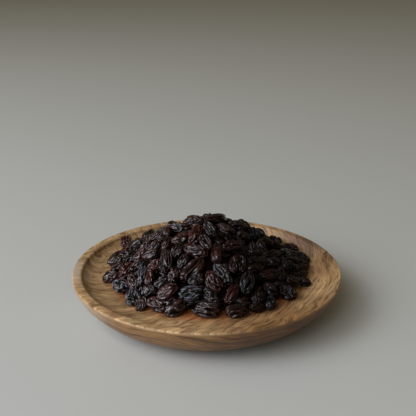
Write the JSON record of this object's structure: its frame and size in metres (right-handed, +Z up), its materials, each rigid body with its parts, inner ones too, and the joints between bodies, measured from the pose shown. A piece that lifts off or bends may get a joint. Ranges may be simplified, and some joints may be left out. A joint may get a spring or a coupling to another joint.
{
  "type": "bowl of raisins",
  "caption": "Shallow turned wooden bowl heaped with dark wrinkled raisins, some of them lying loose round the foot of the heap.",
  "frame": {"origin": "middle of the dish's flat foot, on the surface that it stands on", "axes": "+Z up, +X to the right and +Y to the back as the dish is seen from the front"},
  "size_m": [0.15, 0.15, 0.0522],
  "materials": {
    "wood": "oiled, fine-grained, low sheen",
    "raisin_skin": "dark wrinkled dried-fruit skin with a soft sheen"
  },
  "bodies": {
    "root": {"dish": "wood", "raisin_heap": "raisin_skin", "raisin_01": "raisin_skin", "raisin_02": "raisin_skin", "raisin_03": "raisin_skin", "raisin_04": "raisin_skin", "raisin_05": "raisin_skin", "raisin_06": "raisin_skin", "raisin_07": "raisin_skin", "raisin_08": "raisin_skin", "raisin_09": "raisin_skin", "raisin_10": "raisin_skin", "raisin_11": "raisin_skin", "raisin_12": "raisin_skin", "raisin_13": "raisin_skin", "raisin_14": "raisin_skin", "raisin_15": "raisin_skin", "raisin_16": "raisin_skin", "raisin_17": "raisin_skin", "raisin_18": "raisin_skin", "raisin_19": "raisin_skin", "raisin_20": "raisin_skin", "raisin_21": "raisin_skin", "raisin_22": "raisin_skin", "raisin_23": "raisin_skin", "raisin_24": "raisin_skin", "raisin_25": "raisin_skin", "raisin_26": "raisin_skin", "raisin_27": "raisin_skin", "raisin_28": "raisin_skin", "raisin_29": "raisin_skin", "raisin_30": "raisin_skin", "raisin_31": "raisin_skin", "raisin_32": "raisin_skin", "raisin_33": "raisin_skin", "raisin_34": "raisin_skin", "raisin_35": "raisin_skin", "raisin_36": "raisin_skin", "raisin_37": "raisin_skin", "raisin_38": "raisin_skin"}
  },
  "joints": []
}
